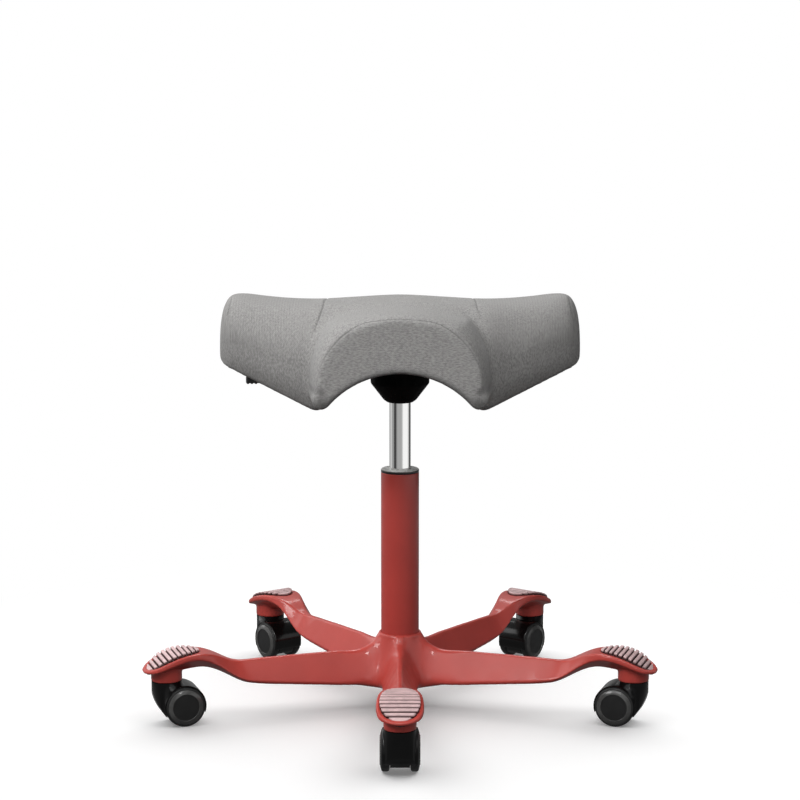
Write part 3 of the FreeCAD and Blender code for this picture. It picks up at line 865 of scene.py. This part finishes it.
def softened(name, node, voxel, edgeRounds, finish, body, hub=None):
    mesh = softenedMesh(name, node, voxel, edgeRounds, hub)
    return placed(linked(name, mesh, finish), [node], body)


def turnedFromFirst(number):
    return Matrix.Rotation(castorTurns[number] - castorTurns[castorNumbers[0]], 4, "Z")


starBase = {
    "voxel": 0.0012,
    "edgeRounds": 5,
    "hub": {"voxel": 0.003, "top": 0.099, "reach": (0.066, 0.100), "below": (0.002, 0.010),
            "fillRounds": 70, "evenRounds": 14, "fineRounds": 8},
}
softened("star_base_casting", "star_base", starBase["voxel"], starBase["edgeRounds"], redCasting,
         "base", starBase["hub"])
print("base made")

# the pads' ribs stand on one round crown, so depth below it marks the grooves
pads = {"voxel": 0.0006, "edgeRounds": 2, "crownReach": 0.287, "crownTop": 0.0966, "crownRadius": 0.076,
        "groove": (0.0002, 0.0010), "lift": 0.0014, "liftReach": (0.0016, 0.0030)}


def makePads():
    mesh = softenedMesh("footrest_pad", "footrest_pad_1", pads["voxel"], pads["edgeRounds"])
    points = pointsOf(mesh)
    turn = castorTurns[castorNumbers[0]]
    outward = points[:, 0] * math.cos(turn) + points[:, 1] * math.sin(turn) - pads["crownReach"]
    upward = points[:, 2] - pads["crownTop"] + pads["crownRadius"]
    sunk = pads["crownRadius"] - np.hypot(outward, upward)
    groove = smoothStep(sunk, *pads["groove"])
    setShare(mesh, "groove", groove)
    points[:, 2] += pads["lift"] * (1 - groove) * (1 - smoothStep(sunk, *pads["liftReach"]))
    setPoints(mesh, points)
    mesh.materials.append(padRubber)
    for number in castorNumbers:
        piece = linked(f"foot_pad_{number}", mesh)
        piece.matrix_world = turnedFromFirst(number)
        placed(piece, [f"footrest_pad_{number}"], "base")


makePads()
print("pads made")

# castors: one smoothed hood, and wheels turned from a profile read off the solids
hoods = {"sharp": math.radians(32)}
wheels = {"ring": 0.0056, "ringHeight": 0.0018, "lip": 0.0005, "ease": 0.0002, "sink": 0.0008,
          "bore": 0.0041, "dish": 0.0004}
treads = {"round": 0.0030, "ease": 0.0003}


def arcRows(centre, radius, start, end, count):
    turns = np.radians(np.linspace(start, end, count))
    return [(centre[0] + radius * math.cos(t), centre[1] + radius * math.sin(t)) for t in turns]


# sizes of a turned part of the first castor, whose axle lies along X: radius, inner and outer face
def turnedSizes(node):
    low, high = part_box(node)
    return (high.z - low.z) / 2, min(abs(low.x), abs(high.x)), max(abs(low.x), abs(high.x))


def wheelProfile():
    radius, inner, outer = turnedSizes("wheel_1_left")
    disc = radius - wheels["ring"]
    lip = wheels["lip"]
    shoulder = outer - wheels["ringHeight"]
    floor = outer - wheels["sink"]
    ease = wheels["ease"]
    return [
        (wheels["bore"], inner, 0), (radius - lip, inner, 0), (radius, inner + lip, 0),
        (radius, shoulder - ease, 0), (radius - ease, shoulder + ease, 1),
        (disc + 2.4 * lip, outer - 0.9 * lip, 1), (disc + lip, outer - 0.15 * lip, 1),
        (disc + 0.4 * lip, outer, 1), (disc, outer - 0.3 * lip, 1),
        (disc - 0.2 * lip, floor, 0), (disc - 3 * lip, floor, 0),
        (0.55 * disc, floor + 0.5 * wheels["dish"], 0), (0.2 * disc, floor + wheels["dish"], 0),
        (0.0, floor + wheels["dish"], 0)]


def treadProfile():
    radius, inner, outer = turnedSizes("tyre_1_left")
    core = turnedSizes("wheel_1_left")[0]
    bend = treads["round"]
    rows = [(core, inner)]
    rows += arcRows((radius - bend, inner + bend), bend, -90, 0, 7)
    rows += arcRows((radius - bend, outer - bend), bend, 0, 90, 7)
    rows += [(core + treads["ease"], outer), (core, outer - treads["ease"]), (core, inner)]
    return rows


def makeCastors():
    hoodMesh = shadeSmooth(weldedCopy("castor_hood_1"))
    hoodMesh.set_sharp_from_angle(angle=hoods["sharp"])
    hoodMesh.materials.append(castorNylon)
    wheelMesh = lathe("castor_wheel", wheelProfile())
    wheelMesh.materials.append(wheelNylon)
    # the ring band gets the lighter nylon, a painted reflection
    wheelMesh.materials.append(ringNylonPaintedReflection)
    treadMesh = lathe("castor_tread", treadProfile())
    treadMesh.materials.append(softTread)
    for number in castorNumbers:
        hood = linked(f"hood_{number}", hoodMesh)
        hood.matrix_world = turnedFromFirst(number)
        placed(hood, [f"castor_hood_{number}"], f"castor_{number}")
        for side in sides:
            joint = joints[f"{side}_wheel_spin_{number}"]
            outward = Vector(joint["axis"]) * (1 if side == "left" else -1)
            turned = outward.to_track_quat("Z", "Y").to_matrix().to_4x4()
            standing = Matrix.Translation(joint["pos_m"]) @ turned
            wheel = linked(f"wheel_body_{number}_{side}", wheelMesh)
            wheel.matrix_world = standing
            placed(wheel, [f"wheel_{number}_{side}"], f"{side}_wheel_{number}")
            tread = linked(f"tread_{number}_{side}", treadMesh)
            tread.matrix_world = standing
            placed(tread, [f"tyre_{number}_{side}"], f"{side}_wheel_{number}")


makeCastors()
print("castors made")

# column: round parts turned again with eased rims
column = {"steps": 192, "ease": 0.0008, "wall": 0.002, "sliderEase": 0.00032, "sliderWall": 0.0015,
          "bandEase": 0.0004, "capDrop": 0.0026, "capEdge": 0.0010, "capInset": 0.0006, "capBore": 0.0142}


def roundSizes(node):
    low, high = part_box(node)
    return (high.x - low.x) / 2, low.z, high.z


# rows close to both ends keep the long wall's shading straight
def easedTube(node, wall, ease):
    radius, low, high = roundSizes(node)
    bore = radius - wall
    heights = (low + ease, low + 2 * ease, low + 4 * ease, high - 4 * ease, high - 2 * ease)
    rim = arcRows((radius - ease, high - ease), ease, 0, 90, 5)
    return [(bore, low), (radius - ease, low), *[(radius, z) for z in heights], *rim,
            (bore + 0.3 * ease, high), (bore, high - 0.3 * ease), (bore, low)]


# a dark band with a low pale cap on it
def capProfiles():
    radius, low, _ = roundSizes("column_collar")
    capTop = roundSizes("column_cap")[2] - column["capDrop"]
    bend = column["capEdge"]
    bandTop = capTop - bend
    bore = column["capBore"]
    ease = column["bandEase"]
    rim = radius - column["capInset"]
    band = [(bore, low), (radius - ease, low), (radius, low + ease),
            *arcRows((radius - ease, bandTop - ease), ease, 0, 90, 4), (bore, bandTop), (bore, low)]
    cap = [(bore, bandTop), (rim, bandTop), *arcRows((rim - bend, bandTop), bend, 0, 90, 6),
           (bore, capTop), (bore, bandTop)]
    return band, cap


def turnedPiece(name, profile, finish, node, body):
    placed(linked(name, lathe(name, profile, column["steps"]), finish), [node], body)


def makeColumn():
    tube = easedTube("stand_tube", column["wall"], column["ease"])
    slider = easedTube("pressure_tube", column["sliderWall"], column["sliderEase"])
    band, cap = capProfiles()
    turnedPiece("column_tube", tube, redTube, "stand_tube", "base")
    turnedPiece("slider_tube", slider, brightSteel, "pressure_tube", "seat")
    turnedPiece("collar_band", band, darkPlastic, "column_collar", "base")
    turnedPiece("cap_disc", cap, paleCap, "column_cap", "base")


makeColumn()

# seat mechanism and lever
housing = {"voxel": 0.0011, "edgeRounds": 3}
grip = {"voxel": 0.0006, "edgeRounds": 3}
softened("mechanism_cone", "mechanism_housing", housing["voxel"], housing["edgeRounds"], darkCasting,
         "seat")
softened("lever_grip_moulding", "lever_grip", grip["voxel"], grip["edgeRounds"], darkPlastic,
         "lever")
print("column and mechanism made")

# what stays as the solid gets its finish here
nodeFinishes = {
    "guide_bush": darkPlastic,
    "height_lever": darkPlastic,
    "seat_pan": darkPlastic,
    "rod_guide": darkPlastic,
    "bump_stop": stopRubber,
}
for name, node in nodes.items():
    node.data.materials.clear()
    node.data.materials.append(nodeFinishes.get(name, plainSteel))


# pale floor: keeps the soft shadow near the chair and is plain white further off
floorLook = {
    "size": 12,
    "colour": 0.92,
    "bounce": 0.09,
    "glow": 0.17,
    "fade": (0.42, 0.85),
    "mirrored": (0.22, 0.46),
    "mirroredFade": (0.6, 1.2),
}


def makeFloor():
    half = floorLook["size"] / 2
    mesh = bpy.data.meshes.new("floor")
    corners = [(-half, -half, 0), (half, -half, 0), (half, half, 0), (-half, half, 0)]
    mesh.from_pydata(corners, [], [(0, 1, 2, 3)])
    finish = bpy.data.materials.new("pale_floor")
    finish.use_nodes = True
    tree = finish.node_tree
    tree.nodes.remove(tree.nodes["Principled BSDF"])
    rays = addNode(tree, "ShaderNodeLightPath")
    distance = addNode(tree, "ShaderNodeVectorMath", operation="LENGTH")
    tree.links.new(objectSpot(tree), distance.inputs[0])

    def matt(level):
        made = addNode(tree, "ShaderNodeBsdfDiffuse")
        made.inputs["Color"].default_value = (level, level, level, 1)
        return made.outputs[0]

    white = addNode(tree, "ShaderNodeEmission")
    fade = addNode(tree, "ShaderNodeMapRange", interpolation_type="SMOOTHSTEP")
    fade.inputs["From Min"].default_value, fade.inputs["From Max"].default_value = floorLook["fade"]
    tree.links.new(distance.outputs["Value"], fade.inputs["Value"])
    glow = addNode(tree, "ShaderNodeEmission")
    glow.inputs["Strength"].default_value = floorLook["glow"]
    pale = addNode(tree, "ShaderNodeAddShader")
    tree.links.new(matt(floorLook["colour"]), pale.inputs[0])
    tree.links.new(glow.outputs[0], pale.inputs[1])
    seen = mixedShader(tree, fade.outputs["Result"], pale.outputs[0], white.outputs[0])
    mirrored = addNode(tree, "ShaderNodeEmission")
    spreadTo(tree, distance.outputs["Value"], mirrored.inputs["Strength"], *floorLook["mirrored"],
             *floorLook["mirroredFade"])
    look = mixedShader(tree, rays.outputs["Is Camera Ray"], matt(floorLook["bounce"]), seen)
    look = mixedShader(tree, rays.outputs["Is Transmission Ray"], look, seen)
    look = mixedShader(tree, rays.outputs["Is Glossy Ray"], look, mirrored.outputs[0])
    tree.links.new(look, tree.nodes["Material Output"].inputs["Surface"])
    floor = linked("floor", mesh, finish)
    return floor


# white behind the chair, a dim studio round it that is darker on the right
studio = {"ambient": (0.06, 0.03), "mirrored": (0.55, 0.12)}


def makeWorld():
    world = bpy.data.worlds.new("studio")
    scene.world = world
    world.use_nodes = True
    tree = world.node_tree
    split = addNode(tree, "ShaderNodeSeparateXYZ")
    tree.links.new(addNode(tree, "ShaderNodeTexCoord").outputs["Generated"], split.inputs["Vector"])
    rays = addNode(tree, "ShaderNodeLightPath")

    def surround(background, levels=None):
        background.inputs["Color"].default_value = (1, 1, 1, 1)
        if levels:
            spreadTo(tree, split.outputs["X"], background.inputs["Strength"], *levels, -1, 1)
        return background.outputs[0]

    ambient = surround(tree.nodes["Background"], studio["ambient"])
    mirrored = surround(addNode(tree, "ShaderNodeBackground"), studio["mirrored"])
    white = surround(addNode(tree, "ShaderNodeBackground"))
    dim = mixedShader(tree, rays.outputs["Is Glossy Ray"], ambient, mirrored)
    shown = mixedShader(tree, rays.outputs["Is Camera Ray"], dim, white)
    tree.links.new(shown, tree.nodes["World Output"].inputs["Surface"])


# soft boxes round the chair, and a wide one overhead for the floor alone: place, size and power in watts
softBoxes = {
    "key": {"place": (-2.2, -1.6, 2.4), "size": 1.0, "power": 45},
    "sky_front": {"place": (0, -1.8, 2.8), "size": 3.5, "power": 32},
    "front_mid": {"place": (0, -2.4, 2.7), "size": 0.4, "power": 15},
    "front_high": {"place": (-1.0, -2.2, 2.8), "size": 1.4, "power": 8},
    "sky_back": {"place": (0, 2.0, 2.6), "size": 0.9, "power": 22},
    "left": {"place": (-2.8, 0.2, 0.9), "size": 1.6, "power": 4},
    "left_high": {"place": (-2.4, 0.0, 2.2), "size": 1.2, "power": 13},
    "back_left": {"place": (-2.0, 1.8, 1.6), "size": 2.0, "power": 22},
    "fill": {"place": (0.3, -3.4, 1.3), "size": 1.6, "power": 8},
    "right_low": {"place": (2.6, -1.4, 1.3), "size": 1.4, "power": 4},
    "floor_sky": {"place": (0, 1.0, 3.0), "size": 8.5, "power": 365},
}
lampAim = Vector((0, 0, 0.3))


def linkedTo(name, floor, state):
    group = bpy.data.collections.new(name)
    group.objects.link(floor)
    group.collection_objects[0].light_linking.link_state = state
    return group


def makeLights(floor):
    onlyFloor = linkedTo("lit_floor", floor, "INCLUDE")
    notFloor = linkedTo("lit_chair", floor, "EXCLUDE")
    for name, box in softBoxes.items():
        data = bpy.data.lights.new(name, "AREA")
        data.shape = "SQUARE"
        data.size = box["size"]
        data.energy = box["power"]
        lamp = bpy.data.objects.new(name, data)
        lamp.location = box["place"]
        lamp.rotation_euler = (lampAim - lamp.location).to_track_quat("-Z", "Y").to_euler()
        lamp.light_linking.receiver_collection = onlyFloor if name == "floor_sky" else notFloor
        scene.collection.objects.link(lamp)


# curved cards seen only in reflections, for the bright tube: from and to in degrees off the front, and level
cards = {
    "distance": 0.62,
    "low": 0.180,
    "high": 0.460,
    "steps": 9,
    "round": [(-125, -93, 0.68), (-93, -66, 0.35), (-66, -42, 0.06), (-42, -30, 0.28),
              (20, 32, 0.75), (32, 92, 1.12), (92, 110, 0.70), (110, 160, 0.10)],
}


def makeCards():
    for number, (start, end, level) in enumerate(cards["round"], 1):
        turns = np.radians(np.linspace(start, end, cards["steps"]))
        points = [(cards["distance"] * math.sin(t), -cards["distance"] * math.cos(t), z)
                  for t in turns for z in (cards["low"], cards["high"])]
        faces = [(2 * i, 2 * i + 2, 2 * i + 3, 2 * i + 1) for i in range(len(turns) - 1)]
        mesh = bpy.data.meshes.new(f"card_{number}")
        mesh.from_pydata(points, [], faces)
        finish = bpy.data.materials.new(f"card_{number}")
        finish.use_nodes = True
        tree = finish.node_tree
        tree.nodes.remove(tree.nodes["Principled BSDF"])
        glow = addNode(tree, "ShaderNodeEmission")
        glow.inputs["Strength"].default_value = level
        tree.links.new(glow.outputs[0], tree.nodes["Material Output"].inputs["Surface"])
        card = linked(f"card_{number}", mesh, finish)
        for ray in ("camera", "diffuse", "transmission", "volume_scatter", "shadow"):
            setattr(card, f"visible_{ray}", False)


makeLights(makeFloor())
makeWorld()
makeCards()
print("studio made")
